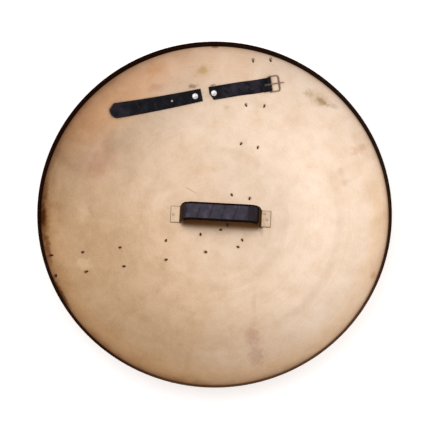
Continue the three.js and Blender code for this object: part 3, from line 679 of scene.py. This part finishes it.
def makeDish():
    # the sheet's inner face from the middle out, up the lip, over the round hem and back outside
    s = dishShape
    wall = s["wall"]
    innerTop = s["radius"] - 2 * wall
    lipAngle = math.atan2(s["lipHeight"], innerTop - creaseRadius)
    bowlAngle = float(bowlSlope(creaseRadius))
    halfTurn = (lipAngle - bowlAngle) / 2
    lipWay = np.array([math.cos(lipAngle), math.sin(lipAngle)])
    radii = np.concatenate([np.linspace(0, s["flatRadius"], 24)[1:],
                            np.linspace(s["flatRadius"], creaseRadius - s["bend"], 64)[1:]])

    def shell(depth):
        slope = bowlSlope(radii)
        return np.stack([radii + depth * np.sin(slope), bowlHeight(radii) - depth * np.cos(slope)], axis=-1)

    def bend(depth):
        middle = bowlAngle + halfTurn
        corner = np.array([creaseRadius, creaseHeight])
        corner = corner + np.array([math.sin(middle), -math.cos(middle)]) * depth / math.cos(halfTurn)
        share = np.linspace(0, 1, 10)[1:, None]
        return curved(shell(depth)[-1], corner, corner + lipWay * s["bend"], share)

    lean = (innerTop - creaseRadius) / s["lipHeight"]
    top = s["rimHeight"]
    hemFoot = s["radius"] - s["hemDepth"] * lean
    lipOut = innerTop + wall / math.sin(lipAngle) - s["hemDepth"] * lean
    low = top - s["hemDepth"]
    soft = s["hemCorner"]
    hemTop = arcPoints(s["radius"] - wall, top - wall, wall, 180, 0, 13)
    hemEdge = arcPoints(hemFoot - soft, low + soft, soft, 0, -90, 5)
    innerFace = np.concatenate([shell(0), bend(0), evenly(np.array([bend(0)[-1], hemTop[0]]), 2)[0][1:-1]])
    outerFace = np.concatenate([bend(wall)[::-1], shell(wall)[::-1]])
    profile = np.concatenate([
        [[0, bowlHeight(0)]], innerFace, hemTop, hemEdge, [[lipOut, low]], outerFace,
        [[0, bowlHeight(0) - wall]]])
    grid = turned(profile, s["around"])
    fade = 1 - softStep(profile[:, 0], *s["waveEnd"])
    bumps = waves(grid[..., 0], grid[..., 1], s["waveLength"], seed=4)
    grid[..., 2] += s["waviness"] * fade[:, None] * bumps
    outward = np.arange(len(profile)) > len(innerFace) + len(hemTop) // 2
    # where the lip's painted shade and dark reflection go, from the crease up
    lip = softStep(profile[:, 1], creaseHeight - 0.4, creaseHeight + 3) * (profile[:, 0] > s["lipFrom"])
    return surface("shieldDish", grid, dishBrass, "shield", ["shield_bowl"], data={
        "hollowSide": (1.0 - outward)[:, None], "lipShadeShare": lip[:, None]})


makeDish()
print("dish made")

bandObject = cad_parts["front_band"]
bandObject.data.materials.clear()
bandObject.data.materials.append(bandBronze)
bandBevel = bandObject.modifiers.new("edges", "BEVEL")
bandBevel.width = 0.0004
bandBevel.segments = 2


def makeNails():
    s = nailShape
    edge = s["headRadius"] - s["edge"]
    head = np.concatenate([
        [[0, 0], [edge - 0.6, 0], [edge, 0.06]], arcPoints(edge, s["edge"], s["edge"], -70, 0, 5),
        [[s["headRadius"], s["headHeight"] - s["rim"]], [s["headRadius"] - s["rim"], s["headHeight"]],
         [s["shank"], s["headHeight"]]]])
    # the shank's path: straight up, bent over, and flattened to the point; the head's foot is on the
    # ground in the flat, so the dish's inner face is floorHeight above it everywhere
    level = floorHeight + s["rise"]
    path = smoothCorners([[0, s["headHeight"]], [0, level - 0.5], [s["reach"] * 0.55, level - 0.1],
                          [s["reach"], floorHeight + s["rise"] * 0.6]], s["bend"], 6)
    way = directions(path)
    share = np.linspace(0, 1, len(path))
    past = np.clip((share - s["pointFrom"]) / (1 - s["pointFrom"]), 0, 1)
    girth = (s["shank"] * np.sqrt(np.clip(1 - past ** 2, 0.02, 1)))[:, None]
    flat = 1 + 0.25 * softStep(share, 0.4, 0.7)[:, None]
    turn = np.linspace(0, 2 * math.pi, s["around"], endpoint=False)
    rings = np.stack([path[:, :1] - girth * way[:, 1:] * np.cos(turn), girth * np.sin(turn) * flat,
                      path[:, 1:] + girth * way[:, :1] * np.cos(turn)], axis=-1)
    tip = np.broadcast_to(rings[-1].mean(0), rings[-1].shape)[None]
    nail = np.concatenate([turned(head, s["around"]), rings[1:], tip])
    grids = [(placed(nail, rows), False) for rows in nailFrames.values()]
    return joined("bandNails", grids, nailBrown, "shield", list(nailFrames))


makeNails()
print("nails made")


# Hand grip: a strip bent down at both ends to flat feet
gripShape = {"x": 10.6, "y": 3.1, "turn": -3.1, "width": 29.6, "thickness": 2, "foot": 17, "span": 142,
             "legLean": 4.5, "legHeight": 29, "shoulderRun": 14, "shoulderRise": 8, "bend": 3, "corner": 0.5,
             "welds": ((-82.7, -0.8), (76.4, 8.6), (81.1, -1.9)), "weldRadius": 1.5, "weldDepth": 0.35,
             "legShadeFrom": (2.6, 5.5), "edgeShadeWidth": (0.4, 1.5)}


def gripPath(start):
    s = gripShape
    top = s["span"] / 2 - s["legLean"]
    half = [[s["span"] / 2 + s["foot"], s["thickness"] / 2], [s["span"] / 2, s["thickness"] / 2],
            [top, s["legHeight"]], [top - s["shoulderRun"], s["legHeight"] + s["shoulderRise"]]]
    if start > 0:
        way = np.array(half[3]) - np.array(half[2])
        half = [list(np.array(half[2]) + way / np.linalg.norm(way) * start), half[3]]
    return [[-x, z] for x, z in half] + half[::-1]


def sweptInPlane(path, section):
    # the section's first number goes across, its second along the path's normal
    way = directions(path)
    out = np.stack([-way[:, 1], way[:, 0]], axis=-1)
    section = np.broadcast_to(section, (len(path), *section.shape[-2:]))
    return np.stack([path[:, None, 0] + out[:, None, 0] * section[..., 1], section[..., 0],
                     path[:, None, 1] + out[:, None, 1] * section[..., 1]], axis=-1)


gripLow = np.array(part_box("grip_bracket")[0]) / mm
gripRows = np.array([heading(gripShape["turn"]), heading(gripShape["turn"] + 90), [0, 0, 1],
                     [gripShape["x"], gripShape["y"], gripLow[2]]])


def makeGrip():
    s = gripShape
    path, places = evenly(smoothCorners(gripPath(0), s["bend"]), 0.8)
    section = roundedBox(s["width"], s["thickness"], s["corner"], 5, (40, 2))
    ends = np.minimum(places, places[-1] - places)
    inset = 1 - 0.5 * (1 - softStep(ends, -0.5, 1.2))
    section = section[None] * np.stack([1 - (1 - inset) * 0.06, inset], axis=-1)[:, None]
    grid = capped(sweptInPlane(path, section))
    upper = (grid[..., 2] > s["thickness"] * 0.7) & (grid[..., 2] < s["thickness"] * 1.3)
    for x, y in s["welds"]:
        far = np.hypot(grid[..., 0] - x, grid[..., 1] - y) / s["weldRadius"]
        dent = np.exp(-far ** 2) - 0.35 * np.exp(-((far - 1.6) / 0.5) ** 2)
        grid[..., 2] -= upper * s["weldDepth"] * dent
    # painted shade and dark reflection: dark brown up the legs
    brown = softStep(grid[..., 2], *s["legShadeFrom"])
    # painted shade along the feet's edges, and brown rings round their welds
    reach = s["span"] / 2 + s["foot"]
    inward = np.minimum(s["width"] / 2 - np.abs(grid[..., 1]), reach - np.abs(grid[..., 0]))
    brown = np.maximum(brown, 0.7 * (1 - softStep(inward, *s["edgeShadeWidth"])))
    for x, y in s["welds"]:
        far = np.hypot(grid[..., 0] - x, grid[..., 1] - y) / s["weldRadius"]
        brown = np.maximum(brown, 0.4 * np.exp(-((far - 1.1) / 0.5) ** 2))
    return surface("gripStrip", placed(grid, gripRows), gripBrass, "shield", ["grip_bracket"],
                   data={"shadeAndGrimeShare": brown})


wrapShape = {"padding": 3.2, "side": 1.4, "gap": 0.3, "endInset": 2, "corner": 3.4, "pitch": 21,
             "firstTurn": 0.35, "step": 0.6, "crease": 0.5, "bend": 9, "endDrop": 1.3, "endRun": 2.5,
             "borders": (4.4, 5.4), "borderFade": 1.4, "shadedEnds": ((6, 10), (17, 22))}


def makeWrap():
    s = wrapShape
    path, places = evenly(smoothCorners(gripPath(s["endInset"]), s["bend"]), 0.7)
    width = gripShape["width"] + 2 * (s["gap"] + s["side"])
    thickness = gripShape["thickness"] + 2 * (s["gap"] + s["padding"])
    section = roundedBox(width - 2 * s["step"], thickness - 2 * s["step"], s["corner"], 9, (40, 6))
    steps = np.linalg.norm(np.roll(section, -1, axis=0) - section, axis=1)
    around = np.concatenate([[0], np.cumsum(steps)[:-1]]) / steps.sum()
    outward = np.stack([np.roll(section, -1, axis=0)[:, 1] - np.roll(section, 1, axis=0)[:, 1],
                        np.roll(section, 1, axis=0)[:, 0] - np.roll(section, -1, axis=0)[:, 0]], axis=-1)
    outward /= np.linalg.norm(outward, axis=1)[:, None]
    # a flat thong wound round: each turn starts proud of the last and sinks under the next
    phase = (places[:, None] / s["pitch"] + around[None] + s["firstTurn"]) % 1
    lift = s["step"] * (1 - phase) * softStep(phase, 0, 0.05)
    lift -= s["crease"] * np.exp(-((phase - 0.02) / 0.03) ** 2)
    lift = lift * (1 - 0.75 * softStep(np.abs(section[:, 0]), width / 2 - 5, width / 2 - 1))
    ends = np.minimum(places, places[-1] - places)
    drop = s["endDrop"] * (1 - softStep(ends, 0, s["endRun"]))
    grown = section[None] + outward[None] * (lift - drop[:, None])[..., None]
    rings = sweptInPlane(path, grown)
    inner = roundedBox(gripShape["width"] + s["gap"], gripShape["thickness"] + s["gap"], 0.4, 9, (40, 6))
    rings = np.concatenate([sweptInPlane(path[:2], inner)[:1], rings, sweptInPlane(path[-2:], inner)[-1:]])
    # painted shade: dark along its sides and seams, and over a length at each end, longer at the right
    leftShade, rightShade = s["shadedEnds"]
    inward = width / 2 - np.abs(section[:, 0])
    border = np.where(section[:, 0] > 0, s["borders"][1], s["borders"][0])
    side = 1 - softStep(inward, border - s["borderFade"], border)
    seam = 0.7 * np.exp(-((phase - 0.01) / 0.03) ** 2) + 0.25 * softStep(phase, 0.7, 1)
    end = 0.6 * (1 - softStep(places[-1] - places, *rightShade)) + 0.85 * (1 - softStep(ends, 1.5, 5))
    end = np.maximum(end, 0.6 * (1 - softStep(places, *leftShade)))
    edge = np.clip(np.maximum(np.maximum(side[None], seam), end[:, None]), 0, 1)
    edge = np.pad(edge, ((2, 2), (0, 0)), constant_values=1)
    return surface("gripWrap", placed(capped(rings), gripRows), wrapLeather, "shield",
                   ["grip_wrap"], data={"cutEdgeAndShade": edge})


makeGrip()
makeWrap()
print("grip made")


# Arm strap and its rivets
strapShape = {"thickness": 2.2, "seatGap": 0.3, "corner": 0.55, "cutFade": (0.1, 0.9), "waveLength": 16}
longShape = {"azimuth": 99, "inset": 80, "heading": 192, "length": 153, "overrun": 12, "rootWidth": 22.4,
             "tipWidth": 27.4, "tipOffset": 2, "tipChamfer": 10, "tipRounding": 12, "tipLift": 3,
             "tipHalf": 2, "holeRadius": 2, "holes": 3, "firstHole": 41.6, "holeSpacing": 30,
             "relief": 0.15}
buckleStrapShape = {"azimuth": 90.3, "inset": 77.2, "rivetOffset": 2, "raisedTo": 35, "heading": 8.8,
                    "width": 24.4, "singleInset": 0.45, "overrun": 8, "chamfer": 6, "barDistance": 98.5,
                    "doubled": 15, "ramp": 8, "bulge": 9, "barRadius": 1.3, "eyeGap": 0.6, "slotWidth": 3.6,
                    "slotBack": 8.8, "notch": 0.8, "relief": 0.12}
foldRadius = buckleStrapShape["barRadius"] + buckleStrapShape["eyeGap"] + strapShape["thickness"]


def strapSeat(width):
    return strapShape["seatGap"] + (width / 2) ** 2 / (2 * arcRadius) + dishShape["wall"] / 8


def rivetPlace(shape):
    return heading(shape["azimuth"]) * (creaseRadius - shape["inset"])


def buckleStrapStart():
    # the strap's centre line runs a little below its rivet
    s = buckleStrapShape
    return rivetPlace(s) - heading(s["heading"] + 90) * s["rivetOffset"]


def strapGrid(start, degrees, seat, at, left, right, low, high, notch, relief):
    # cross sections carried along a straight plan line on the dish, notched where the strap is doubled
    radius = np.minimum(np.minimum(strapShape["corner"], (left - right) / 4), (high - low) / 2.2)
    section = boxSections(left, right, low, high, radius, 5, (28, 3), notch)
    place = start[None] + heading(degrees)[None] * at[:, None]
    rings = []
    for i, (x, y, _) in enumerate(place):
        rows = frameOnDish(x, y, degrees)
        local = np.stack([np.zeros(section.shape[1]), section[i, :, 0], section[i, :, 1] + seat], axis=-1)
        rings.append(placed(local, rows))
    rings = np.array(rings)
    # slow unevenness of old leather, only up from the seat
    top = softStep(section[..., 1], low[:, None] + 0.4, high[:, None])
    rings[..., 2] += relief * top * waves(rings[..., 0], rings[..., 1], strapShape["waveLength"], seed=8)
    inward = (left - right)[:, None] / 2 - np.abs(section[..., 0] - (left + right)[:, None] / 2)
    return rings, 1 - softStep(inward, *strapShape["cutFade"])


def carve(piece, cutters):
    # the piece's mesh with each cutter taken out of it
    for cutter in cutters:
        modifier = piece.modifiers.new("cut", "BOOLEAN")
        modifier.object = cutter
        modifier.operation = "DIFFERENCE"
        modifier.solver = "EXACT"
    bpy.context.view_layer.update()
    evaluated = piece.evaluated_get(bpy.context.evaluated_depsgraph_get())
    mesh = bpy.data.meshes.new_from_object(evaluated)
    piece.modifiers.clear()
    piece.data = mesh
    for cutter in cutters:
        bpy.data.objects.remove(cutter)


def cutterFrom(grid):
    mesh = newMesh("cutter", grid, gridFaces(*grid.shape[:2]))
    cleaned(mesh, 1e-7)
    return newObject("cutter", mesh)


def roundCutter(rows, radius, low, high):
    return cutterFrom(turned([[0, low], [radius, low], [radius, high], [0, high]], 32, rows))


def makeLongStrap():
    s = longShape
    root, shoulder = -s["overrun"], s["length"] - s["tipRounding"]
    at = np.concatenate([np.linspace(root, root + 1, 5), np.arange(root + 2, shoulder, 1.6),
                         shoulder + s["tipRounding"] * np.sin(np.linspace(0.01, 0.5, 30) * math.pi)])
    full = (s["rootWidth"] + (s["tipWidth"] - s["rootWidth"]) * (at - root) / (s["length"] - root)) / 2
    toTip = s["length"] - at
    cut = np.minimum(toTip / s["tipChamfer"], 1)
    bow = np.minimum(toTip / s["tipRounding"], 1)
    right = -(s["tipOffset"] + s["tipHalf"] + (full - s["tipOffset"] - s["tipHalf"]) * cut)
    corner = s["tipHalf"] - s["tipOffset"]
    left = corner + (full - corner) * np.sqrt(1 - (1 - bow) ** 2)
    low = s["tipLift"] * np.maximum(at / s["length"], 0) ** 3
    ends = np.minimum(at - root, toTip)
    tuck = 0.5 * (1 - np.sqrt(np.clip(1 - (1 - np.clip(ends / 0.6, 0, 1)) ** 2, 0, 1)))
    start = rivetPlace(s)
    seat = strapSeat(s["tipWidth"])
    rings, edge = strapGrid(start, s["heading"], seat, at, left - tuck, right + tuck, low + tuck,
                            low + strapShape["thickness"] - tuck, np.zeros(len(at)), s["relief"])
    edge = np.pad(edge, ((1, 1), (0, 0)), constant_values=1)
    piece = surface("strapLong", capped(rings), strapLeather, "shield", ["strap_long"],
                    data={"cutEdgeAndShade": edge})
    holes = []
    through = (-3, 12)
    for i in range(s["holes"]):
        place = start + heading(s["heading"]) * (s["firstHole"] + i * s["holeSpacing"])
        rows = frameOnDish(place[0], place[1], s["heading"])
        holes.append(roundCutter(rows, s["holeRadius"], *through))
    carve(piece, holes)
    return piece


def barRows():
    # the buckle's bar: x along the strap, y along the bar, z away from the dish
    s = buckleStrapShape
    place = buckleStrapStart() + heading(s["heading"]) * s["barDistance"]
    rows = frameOnDish(place[0], place[1], s["heading"])
    rows[3] += rows[2] * (strapSeat(s["width"]) + foldRadius)
    return rows


def makeBuckleStrap():
    s = buckleStrapShape
    thick = strapShape["thickness"]
    root = -s["overrun"]
    half = s["width"] / 2
    foldEnd = s["barDistance"] + foldRadius
    doubled = foldEnd - s["doubled"]
    bulge = s["barDistance"] - s["bulge"]
    at = np.unique(np.concatenate([
        np.linspace(root, root + s["chamfer"], 14), np.arange(root + s["chamfer"], bulge, 1.5),
        np.linspace(bulge, s["barDistance"], 16),
        s["barDistance"] + foldRadius * np.sin(np.radians(np.linspace(4, 86, 20)))]))
    layered = softStep(at, doubled - 0.8, doubled + 0.8)
    # the single layer is narrower below, and its root sits a little higher, centred on its rivet
    raised = s["rivetOffset"] * (1 - softStep(at, s["raisedTo"], doubled))
    left = half + raised
    right = raised - (half - s["singleInset"] * (1 - layered)) * np.clip((at - root) / s["chamfer"], 0, 1)
    # one layer, a ramp up to the doubled length, then the bulge and the round end of the fold
    total = thick * (1 + softStep(at, doubled - s["ramp"], doubled))
    rise = softStep(at, bulge, s["barDistance"])
    total = total + (2 * foldRadius - 2 * thick) * rise
    beyond = np.clip((at - s["barDistance"]) / foldRadius, 0, 1)
    girth = foldRadius * np.sqrt(1 - beyond ** 2)
    past = at > s["barDistance"]
    low = np.where(past, foldRadius - girth, 0)
    high = np.where(past, foldRadius + girth, total)
    notch = s["notch"] * softStep(at, doubled - s["ramp"] * 0.4, doubled + 2)
    rings, edge = strapGrid(buckleStrapStart(), s["heading"], strapSeat(s["width"]), at, left, right,
                            low, high, notch, s["relief"])
    # the root's cut end is dark like the edges, and the fold's round end is not
    edge = np.pad(edge, ((1, 1), (0, 0)), constant_values=((1, 0), (0, 0)))
    piece = surface("strapBuckle", capped(rings), strapLeather, "shield",
                    ["strap_buckle"], data={"cutEdgeAndShade": edge})
    # the eye for the bar and the slot for the prong, cut by a rod and a box that reach well outside
    bar = barRows()
    turn = np.linspace(0, 2 * math.pi, 32, endpoint=False)
    radius = s["barRadius"] + s["eyeGap"]
    rod, deep = 20, 10
    eye = np.stack([np.stack([r * np.cos(turn), np.full(len(turn), y), r * np.sin(turn)], axis=-1)
                    for r, y in ((0, -rod), (radius, -rod), (radius, rod), (0, rod))])
    near, far, side = -s["slotBack"], s["slotBack"] + 2 * foldRadius, s["slotWidth"] / 2
    box = np.array([[[x, y, z] for x, y in ((near, -side), (far, -side), (far, side), (near, side))]
                    for z in (-deep, deep)], float)
    carve(piece, [cutterFrom(placed(eye, bar)), cutterFrom(placed(capped(box), bar))])
    return piece


rivetShape = {"head": 5.5, "edge": 0.45, "dome": 2.15, "shank": 2, "tail": 4.5, "tailHeight": 1.2}


def makeRivet(name, node, shape, width):
    # a flat tail on the front, a shank, and a low dome over the strap
    r = rivetShape
    place = rivetPlace(shape)
    rows = frameOnDish(place[0], place[1], shape["heading"])
    base = strapSeat(width) + strapShape["thickness"] + strapShape["seatGap"]
    tail = -dishShape["wall"] - strapShape["seatGap"]
    under = tail - r["tailHeight"]
    turn = np.radians(np.linspace(0, 90, 14))
    dome = np.stack([r["head"] * np.cos(turn) ** 0.85, base + r["edge"] + r["dome"] * np.sin(turn)], axis=-1)
    dome[-1, 0] = 0
    profile = np.concatenate([[
        [0, under], [r["tail"] - 0.6, under], [r["tail"] - 0.2, under + 0.1], [r["tail"], under + 0.4],
        [r["tail"], tail - 0.1], [r["tail"] - 0.1, tail], [r["shank"], tail], [r["shank"], base],
        [r["head"] - 0.15, base], [r["head"], base + 0.15]], dome])
    return surface(name, turned(profile, 64, rows), rivetNickel, "shield", [node])


makeLongStrap()
makeBuckleStrap()
makeRivet("rivetLong", "strap_rivet_long", longShape, longShape["tipWidth"])
makeRivet("rivetBuckle", "strap_rivet_buckle", buckleStrapShape, buckleStrapShape["width"])
print("strap made")


# Buckle: a bent wire loop and a prong, both round the bar in the strap's fold
buckleShape = {"length": 17.2, "farWire": 1.5, "sideWire": 1, "sideGap": 0.4, "nearCorner": 1.2,
               "farCorner": 4, "restGap": 1, "prongLength": 26.4, "prongWidth": 2.2, "prongThickness": 2,
               "prongTip": 3, "ringWall": 1.3, "ringGap": 0.35, "prongRestGap": 0.3}
barHeight = strapSeat(buckleStrapShape["width"]) + foldRadius
farBarHeight = buckleShape["farWire"] + buckleShape["restGap"]


def tilted(rows, angle):
    # the frame turned about its own y axis, x towards -z
    along = rows[0] * math.cos(angle) - rows[2] * math.sin(angle)
    normal = rows[0] * math.sin(angle) + rows[2] * math.cos(angle)
    return np.array([along, rows[1], normal, rows[3]])


def makeBuckleFrame():
    s = buckleShape
    half = buckleStrapShape["width"] / 2 + s["sideGap"] + s["sideWire"]
    near, far = s["nearCorner"], s["farCorner"]
    bar = buckleStrapShape["barRadius"]
    points, way, wires = [], [], []
    # each corner: its middle along the strap, its side, its radius, where it starts, and the wire's
    # radius before and after it
    for x, side, radius, start, before, after in (
            (s["length"] - far, 1, far, 0, s["farWire"], s["sideWire"]),
            (near, 1, near, 90, s["sideWire"], bar),
            (near, -1, near, 180, bar, s["sideWire"]),
            (s["length"] - far, -1, far, 270, s["sideWire"], s["farWire"])):
        points.append(arcPoints(x, side * (half - radius), radius, start, start + 90, 12))
        way.append(arcPoints(0, 0, 1, start, start + 90, 12))
        wires.append(np.linspace(before, after, 12))
    points, way, wires = np.concatenate(points), np.concatenate(way), np.concatenate(wires)
    turn = np.linspace(0, 2 * math.pi, 24, endpoint=False)
    out = wires[:, None] * np.cos(turn)
    grid = np.stack([points[:, :1] + out * way[:, :1], points[:, 1:] + out * way[:, 1:],
                     wires[:, None] * np.sin(turn)], axis=-1)
    angle = math.asin((barHeight - farBarHeight) / s["length"])
    return surface("buckleFrame", placed(grid, tilted(barRows(), angle)), nickelWithPaintedReflection, "buckle",
                   ["buckle_frame"], closed=True)


def makeProng():
    s = buckleShape
    inner = buckleStrapShape["barRadius"] + s["ringGap"]
    middle = inner + s["ringWall"] / 2
    turn = np.linspace(0, 2 * math.pi, 40, endpoint=False)
    around = np.linspace(0, 2 * math.pi, 20, endpoint=False)
    # ring: an upright oval section carried round the bar
    out = middle + s["ringWall"] / 2 * np.cos(around)
    level = np.broadcast_to(s["prongWidth"] / 2 * np.sin(around), (len(turn), len(around)))
    ring = np.stack([np.cos(turn)[:, None] * out, level, np.sin(turn)[:, None] * out], axis=-1)
    # finger: an oval section that narrows to a blunt tip
    tip = s["prongLength"] - s["prongTip"]
    at = np.concatenate([np.linspace(middle, tip, 26),
                         tip + s["prongTip"] * np.sin(np.linspace(0.1, 0.5, 9) * math.pi)])
    share = (at - at[0]) / (at[-1] - at[0])
    girth = np.sqrt(1 - np.clip((at - tip) / s["prongTip"], 0, 1) ** 2)
    wide = s["prongWidth"] / 2 * (1 - 0.12 * share) * girth
    thick = s["prongThickness"] / 2 * (1 - 0.25 * share) * girth
    finger = np.stack([np.broadcast_to(at[:, None], (len(at), len(around))), wide[:, None] * np.cos(around),
                       thick[:, None] * np.sin(around)], axis=-1)
    low = farBarHeight + s["farWire"] + s["prongRestGap"] + s["prongThickness"] / 2
    rows = tilted(barRows(), -math.asin((low - barHeight) / s["length"]))
    return joined("buckleProng", [(placed(ring, rows), True), (placed(capped(finger), rows), False)],
                  nickelWithPaintedReflection, "prong", ["buckle_prong"])


makeBuckleFrame()
makeProng()
print("buckle made")


# Floor, light and camera
floorMaterial, floorTree, floorShader, _ = newMaterial("paleFloor")
feed(floorTree, floorShader, {"Base Color": (0.93, 0.93, 0.93, 1), "Roughness": 0.9,
                              "Emission Color": (1, 1, 1, 1), "Emission Strength": 0.45})
floorHalf = 20000
floorCorners = np.array([[-1, -1, 0], [1, -1, 0], [1, 1, 0], [-1, 1, 0]], float) * floorHalf
floorMesh = newMesh("floor", floorCorners, [(0, 1, 2, 3)])
floorMesh.materials.append(floorMaterial)
newObject("floor", floorMesh)

world = bpy.data.worlds.new("studio")
bpy.context.scene.world = world
world.use_nodes = True
feed(world.node_tree, world.node_tree.nodes["Background"], {"Color": (1, 1, 1, 1), "Strength": 0.7})


def addLight(name, place, size, power):
    # a soft round lamp that looks at the foot of the dish's middle
    lamp = bpy.data.lights.new(name, "AREA")
    lamp.shape = "DISK"
    lamp.size = size
    lamp.energy = power
    light = newObject(name, lamp)
    light.location = place
    light.rotation_euler = (-Vector(place)).to_track_quat("-Z", "Y").to_euler()


addLight("softOverhead", (-0.8, 0.3, 2.2), size=2.2, power=9.8)
addLight("softFill", (1.2, 0.4, 2.0), size=1.6, power=3)

cameraSetup = {"elevation": 77.4, "distance": 3.4, "aim": (0.0007, -0.0069, dishShape["rimHeight"] * mm),
               "lens": 165.66}
lift = math.radians(cameraSetup["elevation"])
back = Vector((0, -math.cos(lift), math.sin(lift)))
cameraData = bpy.data.cameras.new("camera")
cameraData.lens = cameraSetup["lens"]
cameraData.sensor_width = 36
cameraData.clip_end = 100
camera = newObject("camera", cameraData)
camera.location = Vector(cameraSetup["aim"]) + back * cameraSetup["distance"]
camera.rotation_euler = Matrix(((1, 0, 0), (0, math.sin(lift), -math.cos(lift)),
                                (0, math.cos(lift), math.sin(lift)))).to_euler()
bpy.context.scene.camera = camera
bpy.context.scene.view_settings.view_transform = "Standard"
print("stage made")
